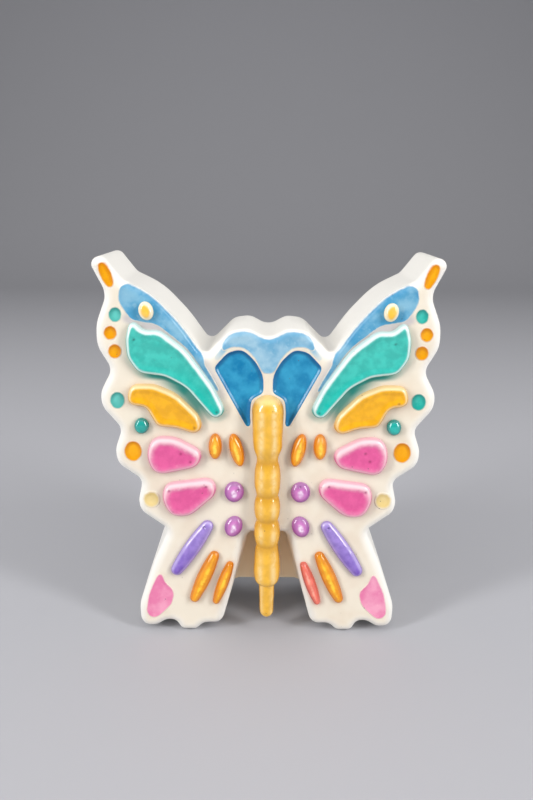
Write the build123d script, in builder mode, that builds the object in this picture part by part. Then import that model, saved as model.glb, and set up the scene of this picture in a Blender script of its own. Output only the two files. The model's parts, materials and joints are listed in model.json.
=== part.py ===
"""Glazed earthenware butterfly ornament that stands on the scalloped feet of its hind wings.

Millimetres, +Z up. The painted face looks along -Y, and +X is to the right of someone facing it.
The origin lies on the surface that the feet stand on, under the middle of the whole piece.
"""
import os
from math import hypot
from build123d import *

# Hollow slab: a front half and a back half, luted together at a seam
slab_depth = 31.0
front_depth = 9.0
wall = 4.0
rim_round = 2.2
vent_bore = 5.0
vent_height = 62.0
web_height = 14.3
web_corner_round = 3.0

# Body, a jointed round bar whose back half is cut away where it lies on the face
head_top = 84.5
head_radius = 5.4
waist_radius = 5.0
waist_rise = 6.2
joint_radius = 3.7
segment_radius = 4.5
joint_heights = [61.6, 49.8, 41.2, 32.4]
abdomen_bottom = 18.6
abdomen_taper = 4.0
tail_radius = 2.7
tail_tip_radius = 2.4
tail_bottom = 6.2
keel_width = 5.0
keel_gap = 0.3

# Raised clay sprigs on the face
cell_relief = 2.2
cell_round = 1.2
bead_relief = 2.0
bead_round = 1.6
bar_relief = 1.8
bar_round = 1.0

# Coloured glaze in shallow recesses of the face
glaze_thickness = 0.6
field_recess = 0.8
dot_recess = 1.0
panel_recess = 1.6
glaze_gap = 0.05
eye_island_margin = 0.4

# Outlines in the front view: each corner is x, z and the radius that rounds it.
# The rim is the right half, from the dip between the head lobes to the inside of the foot.
wing_rim = [
    (0, 102.8, 6), (6.6, 106.5, 6), (12.6, 105.7, 6), (21.3, 96.8, 2.8),
    (29.2, 108.0, 50), (38.8, 118.0, 30), (48.4, 122.6, 4), (54.8, 130.6, 2.6), (59.8, 129.0, 2.6),
    (53.8, 117.6, 7), (57.4, 107.6, 14), (57.2, 100.2, 10), (52.3, 92.2, 4.5), (56.2, 84.4, 7),
    (56.1, 79.6, 7), (49.3, 71.8, 4), (51.7, 64.4, 7), (50.9, 59.6, 5.5), (42.5, 53.9, 3.5),
    (44.0, 46.6, 5), (43.4, 43.0, 5), (33.9, 36.3, 2.6), (39.0, 24.6, 40), (44.1, 9.0, 10),
    (43.6, 1.3, 3.6), (38.0, 1.4, 4), (34.6, 3.4, 4), (31.6, 3.4, 2.6), (29.5, 0, 2.6),
    (24.2, 0, 2.6), (21.6, 2.4, 4), (15.4, 2.4, 3.5),
]
crotch = (6.3, 35.8, 2)

# The hollow keeps clear of the rim's scallops, and ends inside the foot
hollow_rim = [
    (0, 97.5, 10), (13.0, 98.5, 4), (21.5, 92.5, 5), (33.5, 106.0, 20), (44.0, 114.5, 3), (51.0, 107.0, 4),
    (51.0, 99.5, 5), (47.5, 92.0, 6), (51.0, 83.5, 4), (50.5, 80.0, 4), (44.8, 72.5, 5), (46.5, 64.0, 4),
    (46.0, 60.5, 4), (38.2, 55.0, 5), (39.0, 46.0, 4), (29.5, 37.5, 4), (34.5, 25.0, 20), (39.0, 9.5, 3),
    (38.0, 6.4, 2.5),
]
hollow_floor = 7.0
hollow_corner_round = 3.5

lobe_glaze = [
    (0, 101.1, 4), (6.5, 104.4, 4), (11.5, 103.6, 4), (16.8, 98.0, 0.3), (12.7, 100.5, 3.6),
    (8.1, 100.7, 4), (3.9, 96.4, 8), (1.9, 91.5, 0.4),
]
glaze_fields = {
    "forewing_band": [
        (49.1, 121.6, 2.4), (49.5, 115.6, 4), (45.3, 109.3, 1.6), (36.8, 108.0, 5), (26.7, 99.9, 20),
        (16.6, 84.6, 0.3), (15.8, 85.0, 0.3), (20.4, 93.3, 12), (30.3, 107.3, 40), (39.3, 116.8, 20),
    ],
    "foot_petal": [
        (36.3, 23.2, 0.8), (40.4, 14.0, 12), (41.6, 6.6, 2.8), (38.6, 4.5, 2.2), (32.6, 10.2, 3.5),
        (31.6, 15.0, 1.8), (35.0, 18.0, 2),
    ],
}
glaze_panels = {
    "antenna_panel": [
        (18.0, 93.5, 0.8), (13.3, 98.6, 4), (8.7, 99.8, 3.6), (4.4, 95.7, 8), (1.7, 90.7, 6),
        (1.6, 85.0, 0.4), (5.7, 82.8, 2), (6.1, 77.6, 6), (5.8, 73.7, 0.3), (6.9, 73.1, 0.3),
    ],
}
raised_cells = {
    "teal_cell": [
        (45.2, 110.3, 1.5), (46.9, 103.5, 8), (46.5, 97.1, 6), (42.7, 91.8, 4), (34.1, 90.8, 8),
        (27.2, 87.1, 12), (17.8, 76.0, 2.2), (14.1, 78.6, 2.2), (18.4, 87.3, 20), (27.3, 99.4, 20),
        (36.2, 106.3, 5), (41.0, 105.4, 4),
    ],
    "yellow_cell": [
        (45.7, 87.6, 2.8), (46.9, 81.1, 2.4), (40.3, 80.4, 3), (36.8, 73.8, 2.6), (30.2, 73.3, 8),
        (24.7, 71.3, 2.4), (21.8, 72.7, 2.2), (23.2, 77.4, 4), (30.7, 84.7, 12), (38.0, 87.7, 6),
    ],
    "upper_pink_cell": [
        (38.6, 69.9, 4.4), (31.0, 69.7, 9), (21.4, 64.6, 3), (23.9, 59.7, 4), (37.6, 56.8, 3.8),
        (40.6, 63.0, 8),
    ],
    "lower_pink_cell": [
        (34.4, 53.6, 3.4), (18.6, 55.6, 3), (16.8, 50.7, 4), (26.1, 42.6, 6), (32.4, 42.4, 4),
        (35.4, 48.2, 6),
    ],
}

# Ovals: middle x and z, width, height, and the lean of the top towards +X in degrees
glaze_dots = {
    "upper_teal_dot": (50.5, 111.1, 4.3, 5.0, 0),
    "upper_orange_dot": (52.2, 105.0, 4.4, 4.8, 0),
    "middle_orange_dot": (50.8, 98.8, 4.5, 4.9, 0),
    "lower_teal_dot": (50.2, 82.2, 4.9, 5.8, 0),
    "hindwing_orange_dot": (45.2, 64.7, 5.9, 7.0, 0),
    "hindwing_pale_dot": (39.2, 47.8, 4.5, 4.6, 0),
}
raised_beads = {
    "eye_bead": (40.3, 112.4, 4.7, 6.2, 16),
    "teal_bead": (42.2, 73.5, 4.8, 5.4, 0),
    "upper_purple_bead": (11.2, 50.7, 6.4, 7.0, 0),
    "lower_purple_bead": (11.4, 38.5, 5.8, 7.3, -20),
}
seeds = {
    "outer_seed": (17.6, 66.6, 4.4, 8.8, 0),
    "inner_seed": (10.4, 65.4, 4.5, 11.5, 14),
}

# Spindles: x and z of the upper end and of the lower end, the width in the middle and that of the round ends
glaze_bars = {
    "tip_mark": (51.5, 120.2, 55.2, 128.2, 3.5, 2.6),
}
raised_bars = {
    "violet_bar": (19.2, 40.2, 31.8, 21.3, 5.4, 4.0),
    "orange_bar": (17.3, 29.4, 25.3, 11.4, 4.7, 3.2),
    "inner_bar": (12.2, 25.8, 17.7, 10.7, 3.7, 2.4),
}

# Planes parallel to the face, all with local x to the right, local y up and the normal towards -Y
face_y = (head_radius - slab_depth) / 2
face = Plane.XZ.offset(-face_y)
seam = face.offset(-front_depth)
back = face.offset(-slab_depth)
sides = {"left": -1, "right": 1}

# The inner edge of a hind wing runs straight from the foot to the crotch
foot_x, foot_z, foot_round = wing_rim[-1]
edge_run = crotch[0] - foot_x
edge_rise = crotch[1] - foot_z


def inner_edge_corner(z, radius, inset=0.0):
    """Corner at a height on a hind wing's inner edge, or on a line at an inset from it."""
    x = foot_x + edge_run * (z - foot_z) / edge_rise + inset * hypot(edge_run, edge_rise) / edge_rise
    return (x, z, radius)


def both_halves(corners):
    """All corners of a shape that is alike left and right, from those of its right half."""
    left_half = [(-x, z, radius) for x, z, radius in reversed(corners) if x > 0]
    return corners + left_half


def on_side(corners, side):
    """The corners on the left or right wing."""
    return [(sides[side] * x, z, radius) for x, z, radius in corners]


def outline(corners):
    """Face inside an outline whose corners are each rounded to their own radius."""
    points = [(x, z) for x, z, radius in corners]
    radii = [radius for x, z, radius in corners]
    with BuildLine() as path:
        FilletPolyline(*points, radius=radii, close=True)
    make_face(path.edges())


def oval(values, side, margin=0.0, mode=Mode.ADD):
    """Upright or leaning ellipse, larger all round by the margin."""
    x, z, width, height, lean = values
    with Locations((sides[side] * x, z)):
        Ellipse(width / 2 + margin, height / 2 + margin, rotation=-sides[side] * lean, mode=mode)


def bar(values, side, margin=0.0):
    """Slanted spindle with round ends, larger all round by the margin."""
    x_1, z_1, x_2, z_2, width, end_width = values
    run, rise = sides[side] * (x_2 - x_1), z_2 - z_1
    length = hypot(run, rise)
    reach = length / 2 + margin
    half_width = width / 2 + margin
    end_radius = end_width / 2 + margin
    end_middle = reach - end_radius
    flank_radius = (end_middle**2 + half_width**2 - end_radius**2) / (width - end_width)
    share = end_radius / (flank_radius - end_radius)
    join = (end_middle * (1 + share), (flank_radius - half_width) * share)

    def spot(along, across):
        """Point in the front view, from the spindle's middle."""
        x = sides[side] * (x_1 + x_2) / 2 + (along * run - across * rise) / length
        z = (z_1 + z_2) / 2 + (along * rise + across * run) / length
        return (x, z)

    with BuildLine() as path:
        for turn in (1, -1):
            start, end = spot(-turn * join[0], turn * join[1]), spot(turn * join[0], turn * join[1])
            ThreePointArc(start, spot(0, turn * half_width), end)
            ThreePointArc(end, spot(turn * reach, 0), spot(turn * join[0], -turn * join[1]))
    make_face(path.edges())


def glaze_area(kind, values, side, margin=0.0):
    """Outline of one coloured glaze area, larger all round by the margin."""
    if kind == "dot":
        oval(values, side, margin)
    elif kind == "bar":
        bar(values, side, margin)
    else:
        outline(values if kind == "lobes" else on_side(values, side))
        if margin:
            offset(amount=margin)
    if kind == "band":
        oval(raised_beads["eye_bead"], side, eye_island_margin - margin, Mode.SUBTRACT)


def finish(part, label):
    """Name a finished piece and write it."""
    part.label = label
    export_step(part, f"parts/{label}.step")


os.makedirs("parts", exist_ok=True)
front_rim = both_halves(wing_rim + [crotch])
back_rim = both_halves(wing_rim + [inner_edge_corner(web_height, web_corner_round)])
hollow_foot = inner_edge_corner(hollow_floor, hollow_corner_round, wall)
hollow_crotch = inner_edge_corner(crotch[1] + wall, hollow_corner_round, wall)
hollow_web = inner_edge_corner(web_height + wall, hollow_corner_round, wall)
front_hollow = both_halves(hollow_rim + [hollow_foot, hollow_crotch])
back_hollow = both_halves(hollow_rim + [hollow_foot, hollow_web])

# Every glaze area: its name, kind, values, side and the depth of its recess
glaze_areas = [("lobe_glaze", "lobes", both_halves(lobe_glaze), "right", field_recess)]
for side in sides:
    for name, corners in glaze_fields.items():
        kind = "band" if name == "forewing_band" else "field"
        glaze_areas.append((f"{name}_{side}", kind, corners, side, field_recess))
    for name, corners in glaze_panels.items():
        glaze_areas.append((f"{name}_{side}", "field", corners, side, panel_recess))
    for name, values in glaze_dots.items():
        glaze_areas.append((f"{name}_{side}", "dot", values, side, dot_recess))
    for name, values in glaze_bars.items():
        glaze_areas.append((f"{name}_{side}", "bar", values, side, dot_recess))

# Front half of the slab, open at the seam, with a recess for every glaze area
with BuildPart() as front_shell:
    with BuildSketch(seam):
        outline(front_rim)
    extrude(amount=front_depth)
    fillet(front_shell.edges().group_by(Axis.Y)[0], rim_round)
    with BuildSketch(seam):
        outline(front_hollow)
    extrude(amount=front_depth - wall, mode=Mode.SUBTRACT)
    for label, kind, values, side, recess in glaze_areas:
        with BuildSketch(face):
            glaze_area(kind, values, side, glaze_gap)
        extrude(amount=-recess, mode=Mode.SUBTRACT)
finish(front_shell.part, "front_shell")

# Back half, which also bridges the hind wings with a web behind the body
with BuildPart() as back_shell:
    with BuildSketch(back):
        outline(back_rim)
    extrude(amount=slab_depth - front_depth)
    fillet(back_shell.edges().group_by(Axis.Y)[-1], rim_round)
    with BuildSketch(seam):
        outline(front_hollow)
    extrude(amount=-wall, mode=Mode.SUBTRACT)
    with BuildSketch(seam.offset(-wall)):
        outline(back_hollow)
    extrude(amount=2 * wall + front_depth - slab_depth, mode=Mode.SUBTRACT)
    with BuildSketch(back):
        with Locations((0, vent_height)):
            Circle(vent_bore / 2)
    extrude(amount=wall, mode=Mode.SUBTRACT)
finish(back_shell.part, "back_shell")

# Body: turned profile, cut flat where it lies on the face, with a keel that reaches back to the web
keel_top = crotch[1] - keel_gap
with BuildPart() as body:
    with BuildSketch(face):
        with BuildLine():
            head_middle = head_top - head_radius
            CenterArc((0, head_middle), head_radius, 0, 90)
            waist = (waist_radius, joint_heights[0] + waist_rise)
            Line((head_radius, head_middle), waist)
            above = (waist_radius, joint_heights[0] + waist_rise / 2)
            below = (joint_radius, joint_heights[0] + waist_rise / 2)
            Bezier(waist, above, below, (joint_radius, joint_heights[0]))
            for upper, lower in zip(joint_heights, joint_heights[1:]):
                middle = (segment_radius, (upper + lower) / 2)
                ThreePointArc((joint_radius, upper), middle, (joint_radius, lower))
            last_joint = (joint_radius, joint_heights[-1])
            shoulder = (segment_radius, abdomen_bottom + abdomen_taper)
            swell = (segment_radius, (joint_heights[-1] + shoulder[1]) / 2)
            Bezier(last_joint, swell, shoulder)
            Bezier(shoulder, (segment_radius, abdomen_bottom), (tail_radius, abdomen_bottom))
            Line((tail_radius, abdomen_bottom), (tail_tip_radius, tail_bottom + tail_tip_radius))
            CenterArc((0, tail_bottom + tail_tip_radius), tail_tip_radius, 270, 90)
            Line((0, tail_bottom), (0, head_top))
        make_face()
    revolve(axis=Axis((0, face_y, 0), (0, 0, 1)))
    with BuildSketch(face):
        with Locations((0, keel_top)):
            Rectangle(4 * head_radius, head_top - keel_top, align=(Align.CENTER, Align.MIN))
    extrude(amount=-2 * head_radius, mode=Mode.SUBTRACT)
    with BuildSketch(face):
        with Locations((0, web_height)):
            Rectangle(keel_width, keel_top - web_height, align=(Align.CENTER, Align.MIN))
    extrude(amount=-front_depth)
finish(body.part, "body")

# Coloured glaze, flat in its recess
for label, kind, values, side, recess in glaze_areas:
    with BuildPart() as glaze:
        with BuildSketch(face.offset(-recess)):
            glaze_area(kind, values, side)
        extrude(amount=glaze_thickness)
    finish(glaze.part, label)

# Raised sprigs, seated on the face
for side in sides:
    for name, corners in raised_cells.items():
        with BuildPart() as cell:
            with BuildSketch(face):
                outline(on_side(corners, side))
            extrude(amount=cell_relief)
            fillet(cell.edges().group_by(Axis.Y)[0], cell_round)
        finish(cell.part, f"{name}_{side}")
    for name, values in raised_beads.items():
        with BuildPart() as bead:
            with BuildSketch(face):
                oval(values, side)
            extrude(amount=bead_relief)
            fillet(bead.edges().group_by(Axis.Y)[0], bead_round)
        finish(bead.part, f"{name}_{side}")
    for name, values in raised_bars.items():
        with BuildPart() as ridge:
            with BuildSketch(face):
                bar(values, side)
            extrude(amount=bar_relief)
            fillet(ridge.edges().group_by(Axis.Y)[0], bar_round)
        finish(ridge.part, f"{name}_{side}")
    for name, (x, z, width, length, lean) in seeds.items():
        middle = face.from_local_coords((sides[side] * x, z, 0))
        along = Vector(0, 0, 1).rotate(Axis.Y, sides[side] * lean)
        with BuildPart() as seed:
            with BuildSketch(Plane(middle, x_dir=along, z_dir=face.z_dir)):
                Ellipse(length / 2, width / 2)
                Rectangle(length, width, align=(Align.CENTER, Align.MAX), mode=Mode.SUBTRACT)
            revolve(axis=Axis(middle, along))
            split(bisect_by=face, keep=Keep.BOTTOM)
        finish(seed.part, f"{name}_{side}")
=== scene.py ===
"""Looks of the glazed butterfly ornament, built around its packed CAD model.

Metres, +Z up. The painted face looks along -Y, and +X is to the right of someone facing it.
"""
import json
import math
from functools import cached_property

import bmesh
import bpy
import numpy as np
from bpy.props import FloatProperty, FloatVectorProperty, PointerProperty
from mathutils import Euler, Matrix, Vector, noise
from mathutils.bvhtree import BVHTree


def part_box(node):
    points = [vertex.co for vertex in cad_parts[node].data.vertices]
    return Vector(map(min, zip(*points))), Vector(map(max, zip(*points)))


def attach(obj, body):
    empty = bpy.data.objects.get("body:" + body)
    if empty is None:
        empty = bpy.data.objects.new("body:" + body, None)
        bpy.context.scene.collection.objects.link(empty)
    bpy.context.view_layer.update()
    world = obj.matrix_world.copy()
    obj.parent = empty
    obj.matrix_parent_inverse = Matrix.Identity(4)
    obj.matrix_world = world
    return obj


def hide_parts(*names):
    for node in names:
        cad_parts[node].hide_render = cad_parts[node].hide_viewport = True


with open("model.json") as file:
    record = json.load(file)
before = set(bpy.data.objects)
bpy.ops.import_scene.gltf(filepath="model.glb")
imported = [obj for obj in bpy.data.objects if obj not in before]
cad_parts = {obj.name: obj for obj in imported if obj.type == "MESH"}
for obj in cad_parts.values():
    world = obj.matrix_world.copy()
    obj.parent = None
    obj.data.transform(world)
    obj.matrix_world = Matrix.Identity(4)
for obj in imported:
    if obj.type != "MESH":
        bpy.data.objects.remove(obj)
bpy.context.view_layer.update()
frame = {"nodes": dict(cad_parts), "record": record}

bl_info = {
    "name": "Glazed butterfly ornament",
    "version": (1, 0, 0),
    "blender": (4, 5, 0),
    "location": "3D View > Sidebar > Ornament",
    "description": "Soft relief, coloured glazes and a plain stage for the butterfly ornament",
    "category": "Object",
}

MM = 0.001
# Points closer than this are one
MERGE = 1e-6
# Gap between the points of an eased outline
SPACING = 0.3 * MM
SLOTS = {part["node"]: part["material_slot"] for part in frame["record"]["subparts"]}
SIDES = ("left", "right")

# Planes of the hollow slab in the CAD model
FACE_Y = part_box("front_shell")[0].y
SEAM_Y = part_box("front_shell")[1].y
BACK_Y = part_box("back_shell")[1].y
# How far under the face and the back the slab has its full outline
FULL_DEPTH = 3 * MM

CELLS = ("teal_cell", "yellow_cell", "upper_pink_cell", "lower_pink_cell")
BEADS = ("eye_bead", "teal_bead", "upper_purple_bead", "lower_purple_bead")
SEEDS = ("outer_seed", "inner_seed")
BARS = ("violet_bar", "orange_bar", "inner_bar")
FIELDS = ("forewing_band", "foot_petal")
PANELS = ("antenna_panel",)
DOTS = ("upper_teal_dot", "upper_orange_dot", "middle_orange_dot", "lower_teal_dot",
        "hindwing_orange_dot", "hindwing_pale_dot", "tip_mark")

# Bubbles that burst in the glaze of the raised pieces: x and z in the front view, in millimetres
PINHOLES = (
    (-21.2, 38.6), (20.8, 38.6), (-33.0, 51.5), (-20.6, 53.0), (20.6, 53.4), (33.0, 51.5), (-29.0, 64.4),
    (-25.8, 61.6), (32.6, 64.9), (34.1, 62.1), (-9.8, 51.9), (11.0, 53.0), (-24.4, 73.4), (43.3, 82.0),
    (-44.1, 103.0), (-17.0, 78.8), (17.0, 78.7), (41.7, 102.0),
)


def both(names):
    """Node names on the left and the right wing."""
    return [f"{name}_{side}" for name in names for side in SIDES]


AREA_KINDS = {"lobe_glaze": "field"}
for kind, names in (("field", FIELDS), ("panel", PANELS), ("dot", DOTS)):
    AREA_KINDS.update(dict.fromkeys(both(names), kind))

# The body in millimetres: heights of its joints and how far glaze pools from them, how far its two painted
# highlight strips lie from the middle and how wide they are, and from where and over what height its head
# takes a painted top light
JOINTS, JOINT_REACH = (61.6, 49.8, 41.2, 32.4), 2.1
HIGHLIGHT_STRIP_X, HIGHLIGHT_STRIP_WIDTH = 2.2, 0.9
HEAD_LIGHT_FROM, HEAD_LIGHT_RISE = 80, 4

# Where the glaze of the head lobes thins out beside the antenna panels: x and z in millimetres
LOBE_TAIL = ((14.6, 99.7), (16.9, 96.9))

# How far the corners of outlines are eased by hand, and how far the outlines are then let out
EASE = {"field": (1.1 * MM, 0.3 * MM), "panel": (0.8 * MM, 0.3 * MM), "dot": (0.3 * MM, 0.3 * MM),
        "cell": (0.9 * MM, 0.3 * MM), "bead": (0.2 * MM, 0.1 * MM)}

# Widths outside and inside a glaze area's outline over which the face dips to hold it
DIP_SLOPES = {"field": (0.5 * MM, 1.0 * MM), "panel": (0.5 * MM, 1.1 * MM), "dot": (0.6 * MM, 1.6 * MM)}

# An edge wider than any bead, seed or bar, which makes the whole top one dome
DOME_EDGE = 10 * MM

# Unevenness: slow waves to the metre on the slab, and sizes of the lumps on the body and the raised pieces
SLAB_WAVES = 45.0
BODY_LUMPS, RELIEF_LUMPS = 3.2 * MM, 2.6 * MM

# How deep under the face and how far from a piece its colour may have run and its painted shade may reach,
# and how deep the web is tinted
RUN_AND_SHADE_DEPTH, RUN_AND_SHADE_REACH, WEB_DEPTH = 2 * MM, 6 * MM, 4 * MM

# Light values of what has run into the ground and of the painted shade there, of the painted reflected light
# on the web between the hind wings, and of pinholes
SHADE_AND_RUN_BROWN = (0.3, 0.17, 0.1)
RUN_AND_SHADE_TEAL = (0.0, 0.22, 0.185)
SHADE_GREY = (0.42, 0.4, 0.46)
WEB_REFLECTED_LIGHT = (1.0, 0.8, 0.5)
PIT_DARK = (0.1, 0.08, 0.07)

# The floor: half its depth, how much wider it is, the height of the backdrop and the size of the bend
FLOOR_SIZE, FLOOR_SPREAD, BACKDROP_HEIGHT, FLOOR_BEND = 1.5, 3.0, 2.0, 0.6

# Where the lamps hang, what they aim at and how wide and high they are
TOP_LAMP = ((0.0, -0.05, 0.8), (0.0, 0.0, 0.05), (2.4, 1.0))
SIDE_LAMP = ((0.7, -0.42, 0.38), (0.0, 0.0, 0.06), (0.14, 0.7))


def number(name, description, default, **options):
    """A number that a user may change."""
    return FloatProperty(name=name, description=description, default=default, **options)


def length(name, description, millimetres):
    """A length that a user may change, given in millimetres."""
    return number(name, description, millimetres * MM, min=0.0, unit="LENGTH", precision=5)


def colour(name, description, red, green, blue):
    """A colour that a user may change, given as it shows on a screen, from 0 to 255."""
    return FloatVectorProperty(name=name, description=description, subtype="COLOR_GAMMA", size=3,
                               min=0.0, max=1.0, default=(red / 255, green / 255, blue / 255))


class SlabSizes(bpy.types.PropertyGroup):
    """Sizes of the soft slab"""
    rim_round: length("Rim rounding", "Rounding where the painted face meets the sides", 3.0)
    back_round: length("Back rounding", "Rounding where the back meets the sides", 2.8)
    overlap: length("Overlap", "How far each half is modelled past the seam before it is cut there", 2.0)
    web_step: length("Web step", "How far the web between the hind wings lies behind the seam", 0.6)
    waviness: length("Waviness", "How far the hand-finished surface wanders", 0.14)
    vent_depth: length("Vent depth", "Depth of the firing vent that shows in the back", 14.0)
    face_grain: length("Face detail", "Size of the faces that model the painted half", 0.42)
    back_grain: length("Back detail", "Size of the faces that model the back half", 0.62)


class ReliefSizes(bpy.types.PropertyGroup):
    """Sizes of the raised pieces"""
    cell_edge: length("Cell edge", "Width of the rounded edge of a raised cell", 1.7)
    cell_dish: length("Cell dish", "How far a cell sinks inside its lip", 0.45)
    lumps: length("Lumps", "How uneven the thick glaze is", 0.1)
    seat: length("Seat", "How deep a raised piece is bedded in the face", 0.6)
    pinhole: length("Pinhole", "Radius of a burst bubble in the glaze", 0.42)
    cell_grain: length("Cell detail", "Size of the faces that model a cell", 0.32)
    bead_grain: length("Bead detail", "Size of the faces that model a bead, seed or bar", 0.2)
    body_grain: length("Body detail", "Size of the faces that model the body", 0.3)


class GlazeSizes(bpy.types.PropertyGroup):
    """Sizes of the glaze that lies in the face"""
    panel_dip: length("Panel dip", "How deep the antenna panels lie", 1.0)
    field_dip: length("Field dip", "How deep the wide coloured fields lie", 0.25)
    dot_dip: length("Dot dip", "How deep the dots along the wing edge lie", 0.55)
    coat: length("Coat", "How far a glaze area stands over the clay", 0.18)
    roll: length("Roll", "Width of the rounded edge of a glaze area", 0.5)
    grain: length("Glaze detail", "Size of the faces that model a glaze area", 0.25)


class GlazeColours(bpy.types.PropertyGroup):
    """Colours of the glazes"""
    white_glaze: colour("White", "Sides and back of the slab", 243, 240, 233)
    # The face's cream is partly its own tone and partly painted shade, as the face gets less light than the
    # sides
    cream_glaze: colour("Cream", "Painted face of the slab", 236, 226, 208)
    yellow_glaze: colour("Yellow", "Body and yellow cells", 246, 180, 22)
    light_blue_glaze: colour("Light blue", "Head lobes", 124, 179, 206)
    sky_blue_glaze: colour("Sky blue", "Forewing bands", 86, 163, 198)
    deep_blue_glaze: colour("Deep blue", "Antenna panels", 14, 136, 184)
    pink_glaze: colour("Pink", "Pink cells and foot petals", 228, 92, 154)
    orange_glaze: colour("Orange", "Wing edge dots, seeds and bars", 247, 172, 0)
    teal_glaze: colour("Teal", "Teal cells, beads and dots", 24, 184, 168)
    pale_yellow_glaze: colour("Pale yellow", "Faint dots on the hind wings", 232, 206, 136)
    purple_glaze: colour("Purple", "Purple beads", 214, 136, 202)
    violet_glaze: colour("Violet", "Violet bars", 140, 102, 202)
    coral_glaze: colour("Coral", "Inner bar on the right", 250, 120, 98)


class StageSettings(bpy.types.PropertyGroup):
    """Camera, lamps and floor"""
    lens: number("Lens", "Focal length in millimetres", 30.0, unit="CAMERA")
    eye: FloatVectorProperty(name="Eye", description="Where the camera stands", subtype="TRANSLATION",
                             unit="LENGTH", default=(-0.0008, -0.22915, 0.14806), precision=5)
    pitch: number("Pitch", "How far the camera looks down", math.radians(6.12), subtype="ANGLE")
    roll: number("Roll", "How far the camera leans", math.radians(0.4), subtype="ANGLE")
    rise: number("Frame shift", "Upward shift of the picture frame", -0.1576)
    top_power: number("Top lamp", "Power of the lamp overhead in watts", 6.2, unit="POWER")
    side_power: number("Side lamps", "Power of each lamp beside the camera in watts", 5.6, unit="POWER")
    sky: number("Sky", "Strength of the even light from all round", 0.27)
    floor_tone: colour("Floor", "Plain floor and backdrop", 176, 176, 181)


def settings(name):
    """One group of the user's settings."""
    return getattr(bpy.context.scene, f"ornament_{name}")


def linear(shown):
    """Light values of a colour that is given as it shows on a screen."""
    return [c / 12.92 if c <= 0.04045 else ((c + 0.055) / 1.055) ** 2.4 for c in shown]


def tone_of(slot):
    """Light values of a glaze."""
    return linear(getattr(settings("colours"), slot))


def mixed(first, second, share):
    """Colour between two, with the given share of the second."""
    return [a + (b - a) * share for a, b in zip(first, second)]


def smooth(value):
    """Soft step from 0 to 1."""
    value = np.clip(value, 0.0, 1.0)
    return value * value * (3.0 - 2.0 * value)


def ramp(distance, start, width):
    """Soft step from 0 at a start to 1 past a width, both in millimetres."""
    return smooth((distance - start * MM) / (width * MM))


def spread(beyond, width):
    """Full at an edge and for half a width past it, and gone one width further, in millimetres."""
    return smooth(1.5 + beyond / (width * MM))


# Outlines of CAD pieces in the front view

def loop_area(loop):
    """Area inside a loop, positive if it runs anticlockwise in the front view."""
    pairs = zip(loop, loop[1:] + loop[:1])
    return sum(x_1 * z_2 - x_2 * z_1 for (x_1, z_1), (x_2, z_2) in pairs) / 2


def cad_copy(node):
    """Merged copy of a CAD node's mesh."""
    bm = bmesh.new()
    bm.from_mesh(frame["nodes"][node].data)
    bmesh.ops.remove_doubles(bm, verts=bm.verts, dist=MERGE)
    return bm


def section(node, depth):
    """Loops of x and z where the plane at a depth cuts a CAD node, the outermost first."""
    bm = cad_copy(node)
    geometry = bm.verts[:] + bm.edges[:] + bm.faces[:]
    cut = bmesh.ops.bisect_plane(bm, geom=geometry, plane_co=(0, depth, 0), plane_no=(0, 1, 0))["geom_cut"]
    edges = dict.fromkeys(item for item in cut if isinstance(item, bmesh.types.BMEdge))
    loops = []
    while edges:
        first, vert = edges.popitem()[0].verts
        loop = [first]
        while vert is not first:
            loop.append(vert)
            edge = next(e for e in vert.link_edges if e in edges)
            del edges[edge]
            vert = edge.other_vert(vert)
        loops.append([(v.co.x, v.co.z) for v in loop])
    bm.free()
    loops.sort(key=lambda loop: -abs(loop_area(loop)))
    return [loop if (loop_area(loop) > 0) == (n == 0) else loop[::-1] for n, loop in enumerate(loops)]


def blurred(values, spacing, reach):
    """Evenly spaced values around a loop, smoothed over a reach."""
    waves = np.fft.fftfreq(len(values), spacing)
    return np.fft.ifft(np.fft.fft(values) * np.exp(-2.0 * np.square(np.pi * waves * reach)))


def eased(loop, reach):
    """Even points of a loop with its corners eased over a reach, as x + iz, and the ways out there."""
    points = np.array([*loop, loop[0]])
    run = np.append(0.0, np.cumsum(np.hypot(*np.diff(points, axis=0).T)))
    count = max(int(run[-1] / SPACING), 32)
    spots = np.linspace(0.0, run[-1], count, endpoint=False)
    even = np.interp(spots, run, points[:, 0]) + 1j * np.interp(spots, run, points[:, 1])
    soft = blurred(even, run[-1] / count, reach)
    way = np.roll(soft, -1) - np.roll(soft, 1)
    return soft, -1j * way / np.abs(way)


def corners_of(spots):
    """Corners of a loop from points that are given as x + iz."""
    return list(zip(spots.real.tolist(), spots.imag.tolist()))


def let_out(loop, reach, grow):
    """Loop with its corners eased over a reach, let out by a width."""
    soft, out = eased(loop, reach)
    return corners_of(soft + grow * out)


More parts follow.
